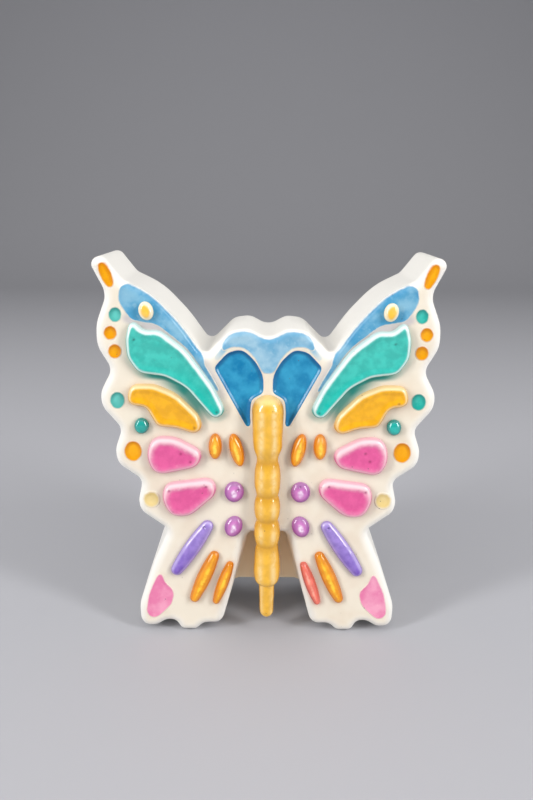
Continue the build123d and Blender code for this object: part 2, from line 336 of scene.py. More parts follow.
class Outline:
    """Outline in the front view, which tells how far points lie inside it."""

    def __init__(self, loops):
        self.loops = loops
        points, walls, self.facing = [], [], []
        for loop in loops:
            for (x_1, z_1), (x_2, z_2) in zip(loop, loop[1:] + loop[:1]):
                size = math.hypot(x_2 - x_1, z_2 - z_1)
                if size < MERGE:
                    continue
                walls.append(range(len(points), len(points) + 4))
                points += [(x_1, -MM, z_1), (x_2, -MM, z_2), (x_2, MM, z_2), (x_1, MM, z_1)]
                self.facing.append(((z_2 - z_1) / size, (x_1 - x_2) / size))
        self.tree = BVHTree.FromPolygons(points, walls)
        corners = np.array(loops[0])
        self.low, self.high = corners.min(0), corners.max(0)

    def around(self, co, margin):
        """Which points lie in the outline's box or within a margin of it."""
        flat = co[:, [0, 2]]
        return np.all((flat > self.low - margin) & (flat < self.high + margin), axis=1)

    def measure(self, co):
        """Depth inside the outline, the outline's nearest point and the way out, for each point."""
        inside, near, out = np.empty(len(co)), np.empty((len(co), 2)), np.empty((len(co), 2))
        for n, (x, y, z) in enumerate(co.tolist()):
            spot, normal, wall, gap = self.tree.find_nearest((x, 0.0, z))
            out_x, out_z = self.facing[wall]
            outside = (x - spot.x) * out_x + (z - spot.z) * out_z > 0
            inside[n] = -gap if outside else gap
            near[n] = spot.x, spot.z
            out[n] = out_x, out_z
        clear = np.abs(inside) > 0.02 * MM
        out[clear] = (near - co[:, [0, 2]])[clear] / inside[clear, None]
        return inside, near, out


class Face:
    """The painted face: the outlines of its rim and of its glaze areas, and how deep the areas lie."""

    def __init__(self):
        self.rim = Outline(section("front_shell", FACE_Y + FULL_DEPTH))
        self.areas = {}
        for node, kind in AREA_KINDS.items():
            low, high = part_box(node)
            loops = section(node, (low.y + high.y) / 2)
            self.areas[node] = Outline([corners_of(eased(loop, EASE[kind][0])[0]) for loop in loops])

    def dips(self, co, inside_rim):
        """Depth of the shallow recesses that hold the coloured glaze."""
        total = np.zeros(len(co))
        for node, area in self.areas.items():
            kind = AREA_KINDS[node]
            depth = getattr(settings("glaze"), f"{kind}_dip")
            before, after = DIP_SLOPES[kind]
            close = np.flatnonzero(area.around(co, before))
            if len(close):
                inside = area.measure(co[close])[0]
                dip = depth * smooth((inside + before) / (before + after))
                total[close] = np.maximum(total[close], dip)
        return total * ramp(inside_rim, 0.6, 2.2)


def uneven(spots, reach):
    """Soft random unevenness of up to a reach, one wave to each unit of the spots."""
    return reach * np.array([noise.noise(spot) for spot in spots.tolist()])


def on_face(inside_rim):
    """Share of the face's cream at points some way inside the rim, where the sides are white. The cream is
    partly the face's own tone and partly painted shade, as the face gets less light than the sides and the
    rim.
    """
    return ramp(inside_rim, 0.4, 3.6)


# Meshes

def points_of(piece):
    """All points of a piece's mesh, as rows of x, y and z."""
    co = np.empty(3 * len(piece.data.vertices))
    piece.data.vertices.foreach_get("co", co)
    return co.reshape(-1, 3)


def set_points(piece, co):
    """Put a piece's points where the rows say."""
    piece.data.vertices.foreach_set("co", co.ravel())
    piece.data.update()


def normals_of(piece):
    """Outward direction at each point of a piece."""
    out = np.empty(3 * len(piece.data.vertices))
    piece.data.vertex_normals.foreach_get("vector", out)
    return out.reshape(-1, 3)


def note(piece, name, values):
    """Keep one number for each point, for the piece's material."""
    held = piece.data.attributes.new(name, "FLOAT", "POINT")
    held.data.foreach_set("value", np.asarray(values, np.float32))


def even_piece(name, bm, grain):
    """New piece with even faces of one size all over the solids in a bmesh."""
    rough = bpy.data.meshes.new(name)
    bm.to_mesh(rough)
    bm.free()
    piece = bpy.data.objects.new(name, rough)
    bpy.context.scene.collection.objects.link(piece)
    even = piece.modifiers.new("Even faces", "REMESH")
    even.mode = "VOXEL"
    even.voxel_size = grain
    shaped = bpy.data.meshes.new_from_object(piece.evaluated_get(bpy.context.evaluated_depsgraph_get()))
    piece.modifiers.clear()
    piece.data = shaped
    bpy.data.meshes.remove(rough)
    shaped.name = name
    return piece


def soft_copy(node, grain):
    """New piece with even faces in the shape of a CAD node."""
    return even_piece(f"glazed_{node}", cad_copy(node), grain)


def add_plate(bm, loops, y_from, y_to):
    """Add a solid plate with the given outline, and holes where there are more loops."""
    edges = []
    for loop in loops:
        verts = [bm.verts.new((x, y_from, z)) for x, z in loop]
        edges += [bm.edges.new(pair) for pair in zip(verts, verts[1:] + verts[:1])]
    filled = bmesh.ops.triangle_fill(bm, use_beauty=False, use_dissolve=False, edges=edges)["geom"]
    faces = [item for item in filled if isinstance(item, bmesh.types.BMFace)]
    made = bmesh.ops.extrude_face_region(bm, geom=faces, use_keep_orig=True)["geom"]
    moved = [item for item in made if isinstance(item, bmesh.types.BMVert)]
    bmesh.ops.translate(bm, vec=(0, y_to - y_from, 0), verts=moved)
    bmesh.ops.recalc_face_normals(bm, faces=bm.faces)


def relax(piece, rounds):
    """Smooth a piece's points a little."""
    bm = bmesh.new()
    bm.from_mesh(piece.data)
    for _ in range(rounds):
        bmesh.ops.smooth_vert(bm, verts=bm.verts, factor=0.5,
                              use_axis_x=True, use_axis_y=True, use_axis_z=True)
    bm.to_mesh(piece.data)
    bm.free()


def cut_at_seam(piece, way):
    """Cut off what lies past the seam, along +Y or -Y, and close the cut with a flat face."""
    bm = bmesh.new()
    bm.from_mesh(piece.data)
    geometry = bm.verts[:] + bm.edges[:] + bm.faces[:]
    bmesh.ops.bisect_plane(bm, geom=geometry, plane_co=(0, SEAM_Y, 0), plane_no=(0, way, 0), clear_outer=True)
    border = [e for e in bm.edges if e.is_boundary]
    bmesh.ops.holes_fill(bm, edges=border, sides=0)
    for edge in border:
        edge.smooth = False
    bm.to_mesh(piece.data)
    bm.free()


def round_edge(co, outline, base_y, relief, width, reach):
    """Move points onto an edge that curves from a wall at the outline to a flat top.

    A relief below zero is for a top that looks along +Y. Points below the base that lie within reach of
    the outline go onto the wall. Returns each point's depth inside the outline, and the way out.
    """
    inside, near, out = outline.measure(co)
    width = min(width, inside.max())
    run = (width - inside) / width
    rise = (base_y - co[:, 1]) / relief
    edge = (run > 0) & (rise > 0)
    top = (run <= 0) & (rise > 0.9)
    wall = (rise <= 0) & (np.abs(inside) < reach)
    size = np.hypot(run, rise)
    run[edge] /= size[edge]
    rise[edge] /= size[edge]
    rise[top] = 1.0
    run[wall] = 1.0
    moved = edge | wall
    inside[moved] = width * (1.0 - run[moved])
    co[np.ix_(moved, [0, 2])] = near[moved] - out[moved] * inside[moved, None]
    raised = edge | top
    co[raised, 1] = base_y - relief * rise[raised]
    return inside, out


def finish_piece(piece, *nodes, material):
    """Let a piece stand for CAD nodes, with smooth faces and its glaze."""
    piece.data.shade_smooth()
    piece.data.materials.clear()
    piece.data.materials.append(material)
    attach(piece, "root")
    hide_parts(*nodes)


# Materials

def _operator(operation, swapped=False):
    """Python operator that adds one Math node."""
    def apply(self, other):
        first, second = (other, self) if swapped else (self, other)
        return self.finish.node("ShaderNodeMath", 0, {"operation": operation}, {0: first, 1: second})
    return apply


class Value:
    """A socket in a material, with Python's operators as Math nodes."""

    def __init__(self, finish, socket):
        self.finish = finish
        self.socket = socket

    __add__ = __radd__ = _operator("ADD")
    __sub__ = _operator("SUBTRACT")
    __rsub__ = _operator("SUBTRACT", True)
    __mul__ = __rmul__ = _operator("MULTIPLY")
    __gt__ = _operator("GREATER_THAN")


class Finish:
    """A material and the nodes that make it."""

    def __init__(self, name):
        self.material = bpy.data.materials.new(name)
        self.material.use_nodes = True
        self.tree = self.material.node_tree
        self.tree.nodes.clear()

    def node(self, kind, out, options, values):
        """Add a node with its options and then its socket values or links, and give one of its outputs."""
        made = self.tree.nodes.new(kind)
        for name, value in options.items():
            setattr(made, name, value)
        for name, value in values.items():
            if isinstance(value, Value):
                self.tree.links.new(value.socket, made.inputs[name])
            else:
                made.inputs[name].default_value = value
        return Value(self, made.outputs[out]) if made.outputs else made

    @cached_property
    def place(self):
        """Place on the piece."""
        return self.node("ShaderNodeTexCoord", "Object", {}, {})

    def noted(self, name):
        """Number kept at each point of the piece."""
        return self.node("ShaderNodeAttribute", "Fac", {"attribute_name": name}, {})

    def step(self, value, low, high, to_low=0.0, to_high=1.0):
        """Soft step of a value between two limits."""
        return self.node("ShaderNodeMapRange", "Result", {"interpolation_type": "SMOOTHSTEP"},
                         {"Value": value, "From Min": low, "From Max": high,
                          "To Min": to_low, "To Max": to_high})

    def cloud(self, size, detail=2.0):
        """Soft random unevenness of about a given size."""
        return self.node("ShaderNodeTexNoise", "Fac", {},
                         {"Vector": self.place, "Scale": 1.0 / size, "Detail": detail})

    def patches(self, size, detail, low, high):
        """Random patches of about a given size, whose edge runs between two limits."""
        return self.step(self.cloud(size, detail), low, high)

    def pits(self, spacing, radius, share):
        """Small round pinholes in a share of the cells of the glaze, 1 in the middle of each."""
        values = {"Vector": self.place, "Scale": 1.0 / spacing}
        gap = self.node("ShaderNodeTexVoronoi", "Distance", {}, values)
        chance = self.node("ShaderNodeTexVoronoi", "Color", {}, values)
        red = self.node("ShaderNodeSeparateColor", "Red", {}, {"Color": chance})
        return self.step(gap, 0.4 * radius / spacing, radius / spacing, 1.0, 0.0) * (red > 1.0 - share)

    def mix(self, share, first, second):
        """Colour between two."""
        def full(tone):
            return tone if isinstance(tone, Value) else (*tone, 1.0)
        return self.node("ShaderNodeMix", 2, {"data_type": "RGBA"},
                         {0: share, 6: full(first), 7: full(second)})

    def close(self, tone, roughness, height, coat, shine):
        """End in a glossy glaze with the given colour, roughness and bumps."""
        normal = self.node("ShaderNodeBump", "Normal", {}, {"Strength": 0.5, "Distance": 0.3 * MM,
                                                           "Height": height})
        shader = self.node("ShaderNodeBsdfPrincipled", "BSDF", {}, {
            "Base Color": tone, "Roughness": roughness, "Normal": normal, "IOR": 1.5,
            "Specular IOR Level": shine, "Coat Weight": coat, "Coat Roughness": 0.08})
        self.node("ShaderNodeOutputMaterial", 0, {}, {"Surface": shader})
        return self.material


def pinholed(finish, tone, share=0.7):
    """Colour with dark pinholes, and the height of the glaze over them."""
    pits = finish.pits(2.6 * MM, 0.24 * MM, 0.4)
    fine = finish.pits(1.2 * MM, 0.11 * MM, 0.3)
    spots = (pits + fine * 0.6) * share
    dark = finish.mix(spots, tone, PIT_DARK)
    skin = finish.cloud(1.6 * MM, 3.0) * 0.1 + finish.cloud(7 * MM) * 0.5
    return dark, skin - spots


def ground_tone(finish):
    """Cream of the face, partly painted shade, and white of the sides, with faint warm patches."""
    white, cream = tone_of("white_glaze"), tone_of("cream_glaze")
    warm = mixed(cream, (0.62, 0.42, 0.26), 0.18)
    patches = finish.patches(9 * MM, 2.0, 0.42, 0.72)
    return finish.mix(finish.noted("face"), white, finish.mix(patches, cream, warm))


def slab_glaze():
    """Pale glaze over the whole slab, tinted where coloured glaze has run, with painted shade around the
    raised pieces and painted reflected light on the web.
    """
    finish = Finish("cream_glaze")
    tone = ground_tone(finish)
    # The run colour holds glaze that ran, painted shade around the raised pieces and painted reflected light
    # on the web
    run = finish.node("ShaderNodeAttribute", "Color", {"attribute_name": "run"}, {})
    tone = finish.mix(finish.noted("run_and_painted_light_share"), tone, run)
    tone, height = pinholed(finish, tone, finish.noted("face") * 0.35)
    rough = finish.cloud(5 * MM) * 0.2 + 0.26
    return finish.close(tone, rough, height, 0.0, 0.3)


def relief_glaze(slot, name, pale, deep, base=None, rich=None, lip=2.0, upper=0.7, around=0.0, line=0.0,
                 crown=0.0, foot=0.9, clear=0.6, gloss=0.3):
    """Glaze on a raised piece.

    Each tone is a colour and its share in a mix with the slot's own. The glaze thins to the pale tone over
    the lip all round, and a painted highlight pales it further on the upper edge, on a line along the lip's
    crest and on the crown of a dome, where thinned glaze and painted highlight mix. It pools to the deep tone
    at the foot, which is also painted shade and so less on the upper edge, and is rich towards the lower end.
    Lip and foot are widths in millimetres.
    """
    own = tone_of(slot)
    base, pale, deep, rich = (tone and mixed(own, *tone) for tone in (base, pale, deep, rich))
    base = base or own
    finish = Finish(name)
    edge = finish.noted("edge")
    patches = finish.patches(3.0 * MM, 4.0, 0.36, 0.66)
    tone = finish.mix(patches, mixed(base, deep, 0.32), base)
    if rich:
        lower = finish.step(finish.noted("along"), 0.05, 0.75, 1.0, 0.0)
        tone = finish.mix(lower, tone, finish.mix(patches, rich, mixed(rich, base, 0.4)))
    upward = finish.step(finish.noted("lift"), -0.4, 0.7)
    ragged = edge + (finish.cloud(2.0 * MM) - 0.5) * (0.3 * lip)
    # Pale over the lip: glaze thinned all round, and a painted highlight on the upper edge
    thin_and_highlight = finish.step(ragged, 0.1 * lip, lip, 1.0, 0.0) * (upward * (upper - around) + around)
    # Painted highlight along the lip's crest
    crest = finish.step(edge, 0.3, 0.8) * finish.step(edge, 0.9, 1.7, 1.0, 0.0) * line
    share = thin_and_highlight + crest * (1.0 - thin_and_highlight)
    if crown:
        highlight_breakup = finish.patches(1.5 * MM, 2.0, 0.4, 0.6) * 0.5 + 0.5
        # Painted highlight on the crown of a dome, partly glaze thinned over the high point
        share = share + finish.step(finish.noted("dome"), 0.5, 0.95) * highlight_breakup * crown
    flecks = finish.patches(1.1 * MM, 2.0, 0.6, 0.74) * 0.08
    tone = finish.mix(finish.step(share + flecks, 0.0, 1.0), tone, pale)
    # Deep tone at the foot, where glaze pools and painted shade falls, less so on the upper edge by the share
    # clear
    pooled_and_shade = finish.step(edge, 0.2 * foot, foot, 1.0, 0.0) * (1.0 - upward * clear)
    tone = finish.mix(pooled_and_shade * 0.85, tone, deep)
    tone = finish.mix(finish.noted("pit") * 0.85, tone, mixed(deep, (0.05, 0.03, 0.04), 0.4))
    tone, height = pinholed(finish, tone)
    rough = finish.cloud(4 * MM) * 0.1 + 0.07
    return finish.close(tone, rough, height, gloss, 0.45)


def body_glaze():
    """Amber glaze on the body, with a painted top light on the head and two painted highlight strips, deep in
    the joints, and with painted shade at the sides.
    """
    finish = Finish("amber_glaze")
    amber = tone_of("yellow_glaze")
    base, pale = mixed(amber, (0.9, 0.53, 0.07), 0.6), (1.0, 0.8, 0.4)
    deep = mixed(amber, (0.42, 0.18, 0.02), 0.65)
    patches = finish.patches(2.6 * MM, 4.0, 0.38, 0.64)
    tone = finish.mix(patches, mixed(base, deep, 0.3), base)
    highlight_breakup = finish.patches(2.2 * MM, 3.0, 0.36, 0.6) * 0.6 + 0.4
    # Two pale vertical strips: painted highlights of the side lamps
    tone = finish.mix(finish.noted("highlight_strip") * highlight_breakup * 0.75, tone, pale)
    tone = finish.mix(finish.noted("joint") * 0.55, tone, deep)
    # Deep tone on the sides that turn away from the front: painted shade
    tone = finish.mix(finish.noted("side"), tone, deep)
    # Paler upward faces on the head: painted top light
    tone = finish.mix(finish.step(finish.noted("lift"), 0.05, 0.6) * 0.6, tone, (1.0, 0.76, 0.34))
    tone, height = pinholed(finish, tone)
    rough = finish.cloud(4 * MM) * 0.1 + 0.12
    return finish.close(tone, rough, height, 0.3, 0.5)


def area_glaze(name, base, pale, deep, fade, edge_shade_share, mottle):
    """Glaze that lies in the face, mottled by the brush, with painted shade along its edge, strongest on the
    upper edge, and whose edge fades over a width in millimetres.
    """
    finish = Finish(name)
    edge = finish.noted("edge")
    patches = finish.patches(5.5 * MM, 4.0, 0.34, 0.66)
    tone = finish.mix(patches, mixed(base, deep, 0.7 * mottle), mixed(base, pale, mottle))
    flecks = finish.patches(1.8 * MM, 2.0, 0.58, 0.72)
    tone = finish.mix(flecks * (0.5 * mottle), tone, pale)
    upward = finish.step(finish.noted("lift"), -0.6, 0.8, 0.6, 1.4)
    # Painted shade along the edge of the dip, strongest on the upper edge
    tone = finish.mix(finish.step(edge, 0.4, 2.2, edge_shade_share, 0.0) * upward, tone, deep)
    ragged = edge + (finish.cloud(1.4 * MM, 3.0) - 0.5) * (0.6 * fade)
    tone = finish.mix(finish.step(ragged, 0.0, fade), ground_tone(finish), tone)
    tone, height = pinholed(finish, tone)
    rough = finish.cloud(4 * MM) * 0.14 + 0.16
    return finish.close(tone, rough, height, 0.0, 0.35)


def plain(name, tone):
    """Matt, even finish for the stage."""
    finish = Finish(name)
    shader = finish.node("ShaderNodeBsdfPrincipled", "BSDF", {},
                         {"Base Color": (*tone, 1.0), "Roughness": 0.7})
    finish.node("ShaderNodeOutputMaterial", 0, {}, {"Surface": shader})
    return finish.material


# Operators

class SlabOperator(bpy.types.Operator):
    """Model the two halves of the pale slab, with soft rims and dips for the coloured glaze"""
    bl_idname = "ornament.slab"
    bl_label = "Slab"

    def execute(self, context):
        sizes = settings("slab")
        material = slab_glaze()
        face = Face()
        self.front_half(sizes, face, material)
        self.back_half(sizes, face, material)
        return {"FINISHED"}

    def front_half(self, sizes, face, material):
        """The painted half, from the face to the seam."""
        bm = bmesh.new()
        add_plate(bm, face.rim.loops[:1], FACE_Y, SEAM_Y + sizes.overlap)
        piece = even_piece("slab_front", bm, sizes.face_grain)
        co = points_of(piece)
        size = sizes.rim_round
        inside, out = round_edge(co, face.rim, FACE_Y + size, size, size, 2 * sizes.face_grain)
        front = co[:, 1] < FACE_Y + 0.95 * size
        wander = uneven(SLAB_WAVES * co, sizes.waviness)
        co[front, 1] += face.dips(co[front], inside[front]) + wander[front] * smooth(inside[front] / size)
        self.sway(co, inside, out, wander)
        set_points(piece, co)
        relax(piece, 1)
        cut_at_seam(piece, 1)
        co = points_of(piece)
        inside = face.rim.measure(co)[0]
        # Cream on the face, fading to white towards the rim: partly painted shade
        note(piece, "face", on_face(inside) * (co[:, 1] < FACE_Y + size))
        self.tint(piece, co, face)
        finish_piece(piece, "front_shell", material=material)

    def sway(self, co, inside, out, wander):
        """Let the sides wander a little."""
        share = 1.0 - ramp(inside, 0, 3)
        co[:, [0, 2]] += out * (share * wander)[:, None]

    def tint(self, piece, co, face):
        """Note where the colour of the pieces on the face has run into the pale ground, and the painted shade
        that falls around and below them.
        """
        tint = np.zeros((len(co), 4), np.float32)
        share = np.zeros(len(co))

        def add_run_and_painted_light(chosen, strength, tone):
            stronger = strength > share[chosen]
            share[chosen[stronger]] = strength[stronger]
            tint[chosen[stronger]] = (*tone, 1.0)

        front = co[:, 1] < FACE_Y + RUN_AND_SHADE_DEPTH
        for node in both(CELLS + BEADS + SEEDS + BARS):
            outline = Outline(section(node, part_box(node)[1].y - 0.2 * MM))
            close = np.flatnonzero(outline.around(co, RUN_AND_SHADE_REACH) & front)
            inside, near, out = outline.measure(co[close])
            beyond = np.minimum(inside, 0.0)
            below = smooth(0.3 - out[:, 1])
            tone = tone_of(SLOTS[node])
            # Brown at the foot of every raised piece, stronger below it: painted contact shade, with some
            # glaze that ran
            pooled_and_shade = np.exp(beyond / (0.5 * MM)) * (0.3 + 0.3 * below)
            add_run_and_painted_light(close, pooled_and_shade, mixed(tone, SHADE_AND_RUN_BROWN, 0.55))
            if node.startswith("teal_cell"):
                # Dark teal below the teal cell: painted shadow along its lower edge, and glaze that ran
                # further out under its inner half
                run = self.teal_run(np.abs(co[close, 0]), beyond, out)
                add_run_and_painted_light(close, run, mixed(tone, RUN_AND_SHADE_TEAL, 0.8))
                band = face.areas[node.replace("teal_cell", "forewing_band")]
                # Grey between the teal cell and the blue band above it: painted shade
                add_run_and_painted_light(close, self.grey_strip(band.measure(co[close])[0], beyond, out), SHADE_GREY)
        close, strength = self.lobe_tail(co, front)
        add_run_and_painted_light(close, strength, tone_of("light_blue_glaze"))
        self.stained(piece, tint, share)

    def teal_run(self, apart, beyond, out):
        """How strongly teal has run out below its cell, with a painted dark shadow along the cell's lower
        edge, by the distance from the ornament's middle.
        """
        lower = smooth(-0.1 - 1.4 * out[:, 1])
        lower *= 0.3 + 0.7 * ramp(apart, 18, 5)
        # Painted shadow hugging the cell's lower edge
        contact = spread(beyond, 1.8) * (1.0 - 0.7 * ramp(apart, 38, 7))
        inner = ramp(-apart, -40, 12) * ramp(apart, 19, 5)
        return 0.97 * lower * np.maximum(contact, inner * spread(beyond, 3.6))

    def grey_strip(self, inside_band, beyond, out):
        """How strongly the ground between a teal cell and the blue band above it is greyed with painted
        shade.
        """
        strength = spread(np.minimum(inside_band, 0.0), 3) * spread(beyond, 3.5)
        return 0.65 * strength * smooth(1.2 * out[:, 1])

    def lobe_tail(self, co, front):
        """Points where the glaze of the head lobes thins out, and how strong it still is there."""
        start, end = np.array(LOBE_TAIL) * MM
        way = end - start
        spots = np.column_stack((np.abs(co[:, 0]), co[:, 2])) - start
        along = np.clip(spots @ way / np.sum(np.square(way)), 0.0, 1.0)
        gap = np.hypot(*(spots - along[:, None] * way).T)
        close = np.flatnonzero(front & (gap < 2 * MM))
        return close, smooth(1.7 - gap[close] / (0.7 * MM)) * (0.95 - 0.6 * along[close])

    def stained(self, piece, tint, share):
        """Keep the tint of the ground at each point, from glaze that ran, painted shade and painted reflected
        light, and its share.
        """
        held = piece.data.attributes.new("run", "FLOAT_COLOR", "POINT")
        held.data.foreach_set("color", np.asarray(tint, np.float32).ravel())
        note(piece, "run_and_painted_light_share", share)

    def back_half(self, sizes, face, material):
        """The plain half, from the seam to the back, with the web between the hind wings and the vent."""
        outline = Outline(section("back_shell", BACK_Y - FULL_DEPTH))
        vent_y = BACK_Y - sizes.vent_depth
        bm = bmesh.new()
        add_plate(bm, face.rim.loops[:1], SEAM_Y - sizes.overlap, vent_y)
        add_plate(bm, outline.loops[:1], SEAM_Y + sizes.web_step, vent_y)
        add_plate(bm, outline.loops, vent_y - sizes.back_grain, BACK_Y)
        piece = even_piece("slab_back", bm, sizes.back_grain)
        co = points_of(piece)
        size = sizes.back_round
        inside, out = round_edge(co, outline, BACK_Y - size, -size, size, sizes.back_grain)
        wander = uneven(SLAB_WAVES * co, sizes.waviness)
        self.sway(co, inside, out, wander)
        flat = co[:, 1] > BACK_Y - 0.5 * MM
        co[flat, 1] += np.minimum(wander, 0.0)[flat]
        set_points(piece, co)
        relax(piece, 2)
        cut_at_seam(piece, -1)
        co = points_of(piece)
        # Warm tint on the web between the hind wings: painted reflected light from the yellow body, on a web
        # in shade
        web = ramp(-face.rim.measure(co)[0], 0, 1.5) * (co[:, 1] < SEAM_Y + WEB_DEPTH)
        self.stained(piece, np.tile((*WEB_REFLECTED_LIGHT, 1.0), (len(co), 1)), 0.8 * web)
        finish_piece(piece, "back_shell", material=material)


class BodyOperator(bpy.types.Operator):
    """Model the jointed body as one soft, glazed bar"""
    bl_idname = "ornament.body"
    bl_label = "Body"

    def execute(self, context):
        sizes = settings("relief")
        piece = soft_copy("body", sizes.body_grain)
        relax(piece, 3)
        co = points_of(piece)
        co += normals_of(piece) * uneven(co / BODY_LUMPS, sizes.lumps)[:, None]
        set_points(piece, co)
        out = normals_of(piece)
        front = np.clip(-out[:, 1], 0.0, 1.0)
        joint = sum(np.exp(-np.square((co[:, 2] / MM - height) / JOINT_REACH)) for height in JOINTS)
        joint = np.minimum(joint, 1.0)
        # Painted highlight strips where the side lamps reflect
        highlight_strip = np.exp(-np.square((np.abs(co[:, 0]) / MM - HIGHLIGHT_STRIP_X) / HIGHLIGHT_STRIP_WIDTH)) * front
        note(piece, "joint", joint)
        note(piece, "highlight_strip", highlight_strip * (1.0 - joint))
        # Sides that turn away from the front, for the painted shade
        note(piece, "side", 1.0 - smooth((front - 0.28) / 0.5))
        # Upward faces of the head, for the painted top light
        note(piece, "lift", out[:, 2] * ramp(co[:, 2], HEAD_LIGHT_FROM, HEAD_LIGHT_RISE))
        finish_piece(piece, "body", material=body_glaze())
        return {"FINISHED"}


def raise_piece(node, kind, grain, width, dish):
    """Model one raised piece on the face, with a rounded edge and a hollow inside its lip."""
    sizes = settings("relief")
    low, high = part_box(node)
    relief = high.y - low.y
    outline = Outline([let_out(loop, *EASE[kind]) for loop in section(node, high.y - 0.1 * relief)])
    piece = soft_copy(node, grain)
    co = points_of(piece)
    inside, out = round_edge(co, outline, FACE_Y, relief, width, 1 * MM)
    top = co[:, 1] < FACE_Y - 0.5 * relief
    co[top, 1] += dish * smooth((inside[top] - 0.8 * width) / (1.1 * width))
    base = co[:, 1] > FACE_Y - 0.02 * MM
    co[base, 1] = FACE_Y + sizes.seat
    set_points(piece, co)
    relax(piece, 2)
    co = points_of(piece)
    pit = np.zeros(len(co))
    for x, z in PINHOLES:
        gap = np.hypot(co[:, 0] - x * MM, co[:, 2] - z * MM) / sizes.pinhole
        pit = np.maximum(pit, np.exp(-gap * gap))
    pit[co[:, 1] > FACE_Y - 0.3 * relief] = 0.0
    co[:, 1] += 0.9 * sizes.pinhole * pit
    shown = co[:, 1] < FACE_Y - 0.3 * MM
    co[shown, 1] += uneven(co[shown] / RELIEF_LUMPS, sizes.lumps)
    set_points(piece, co)
    note(piece, "dome", inside / inside.max())
    note(piece, "edge", inside / MM)
    note(piece, "lift", out[:, 1])
    note(piece, "along", (co[:, 2] - co[:, 2].min()) / np.ptp(co[:, 2]))
    note(piece, "pit", pit)
    return piece


def relief_finishes(looks):
    """Material for each slot of a group of raised pieces."""
    return {slot: relief_glaze(slot, **look) for slot, look in looks.items()}


def raise_domes(names, looks):
    """Model beads, seeds or bars as domes on both wings, each in the glaze of its slot."""
    finishes = relief_finishes(looks)
    grain = settings("relief").bead_grain
    for node in both(names):
        piece = raise_piece(node, "bead", grain, DOME_EDGE, 0.0)
        finish_piece(piece, node, material=finishes[SLOTS[node]])


class CellsOperator(bpy.types.Operator):
    """Model the raised wing cells, with a lip and a hollow where the glaze pools"""
    bl_idname = "ornament.cells"
    bl_label = "Cells"

    LOOKS = {
        "teal_glaze": dict(
            name="cell_teal_glaze", base=((0.08, 0.6, 0.52), 0.7), pale=((0.8, 0.93, 0.9), 1.0),
            deep=((0.0, 0.1, 0.11), 0.7), rich=((0.0, 0.48, 0.4), 0.8),
            lip=2.2, upper=1.0, around=0.25, line=0.6),
        "yellow_glaze": dict(
            name="cell_yellow_glaze", pale=((1.0, 0.86, 0.55), 0.8), deep=((0.4, 0.12, 0.0), 0.7),
            lip=1.8, upper=0.85, around=0.25, line=0.45),
        "pink_glaze": dict(
            name="cell_pink_glaze", pale=((0.93, 0.66, 0.7), 1.0), deep=((0.45, 0.02, 0.16), 0.7),
            lip=3.8, upper=0.95, around=0.4, line=0.3),
    }

    def execute(self, context):
        sizes = settings("relief")
        finishes = relief_finishes(self.LOOKS)
        for node in both(CELLS):
            dish = sizes.cell_dish * (0.5 if SLOTS[node] == "pink_glaze" else 1.0)
            piece = raise_piece(node, "cell", sizes.cell_grain, sizes.cell_edge, dish)
            finish_piece(piece, node, material=finishes[SLOTS[node]])
        return {"FINISHED"}


class BeadsOperator(bpy.types.Operator):
    """Model the beads and seeds as glazed domes"""
    bl_idname = "ornament.beads"
    bl_label = "Beads and seeds"

    IVORY = (0.9, 0.82, 0.62)
    LOOKS = {
        "yellow_glaze": dict(
            name="eye_glaze", base=((1.0, 0.66, 0.1), 0.5), pale=(IVORY, 1.0), deep=(IVORY, 0.4),
            lip=1.6, upper=1.0, around=0.85, line=0.2, foot=0.2),
        "teal_glaze": dict(
            name="bead_teal_glaze", base=((0.0, 0.44, 0.4), 0.6), pale=((0.6, 0.9, 0.86), 0.4),
            deep=((0.0, 0.05, 0.06), 0.85), lip=1.6, upper=0.2, crown=0.1, foot=1.2, clear=0.3, gloss=1.0),
        "purple_glaze": dict(
            name="bead_purple_glaze", base=((0.54, 0.12, 0.44), 0.35), pale=((0.96, 0.82, 0.95), 1.0),
            deep=((0.16, 0.01, 0.2), 0.85), lip=2.0, upper=0.4, crown=0.9, foot=1.8, clear=0.2, gloss=0.6),
        "orange_glaze": dict(
            name="seed_orange_glaze", base=((0.92, 0.34, 0.0), 0.6), pale=((1.0, 0.7, 0.08), 1.0),
            deep=((0.5, 0.1, 0.0), 0.9), lip=1.2, upper=0.2, crown=1.0, foot=1.2, clear=0.1, gloss=0.6),
    }

    def execute(self, context):
        raise_domes(BEADS + SEEDS, self.LOOKS)
        return {"FINISHED"}


class BarsOperator(bpy.types.Operator):
    """Model the slanted bars of the hind wings as half-round glazed ridges"""
    bl_idname = "ornament.bars"
    bl_label = "Bars"

    LOOKS = {
        "violet_glaze": dict(
            name="bar_violet_glaze", base=((0.5, 0.4, 0.76), 0.4), pale=((0.62, 0.52, 0.86), 1.0),
            deep=((0.05, 0.02, 0.2), 0.8), rich=((0.14, 0.06, 0.44), 0.7),
            lip=1.2, upper=0.7, around=0.35, line=0.3, foot=0.5, clear=0.4, gloss=0.8),
        "orange_glaze": dict(
            name="bar_orange_glaze", base=((0.92, 0.32, 0.0), 0.6), pale=((1.0, 0.64, 0.04), 1.0),
            deep=((0.5, 0.1, 0.0), 0.9), lip=1.0, upper=0.3, crown=0.9, foot=1.2, clear=0.1, gloss=0.6),
        "coral_glaze": dict(
            name="bar_coral_glaze", pale=((1.0, 0.6, 0.45), 0.7), deep=((0.42, 0.04, 0.03), 0.85),
            lip=1.0, upper=0.4, crown=0.7, foot=1.2, clear=0.1, gloss=1.0),
    }

    def execute(self, context):
        raise_domes(BARS, self.LOOKS)
        return {"FINISHED"}


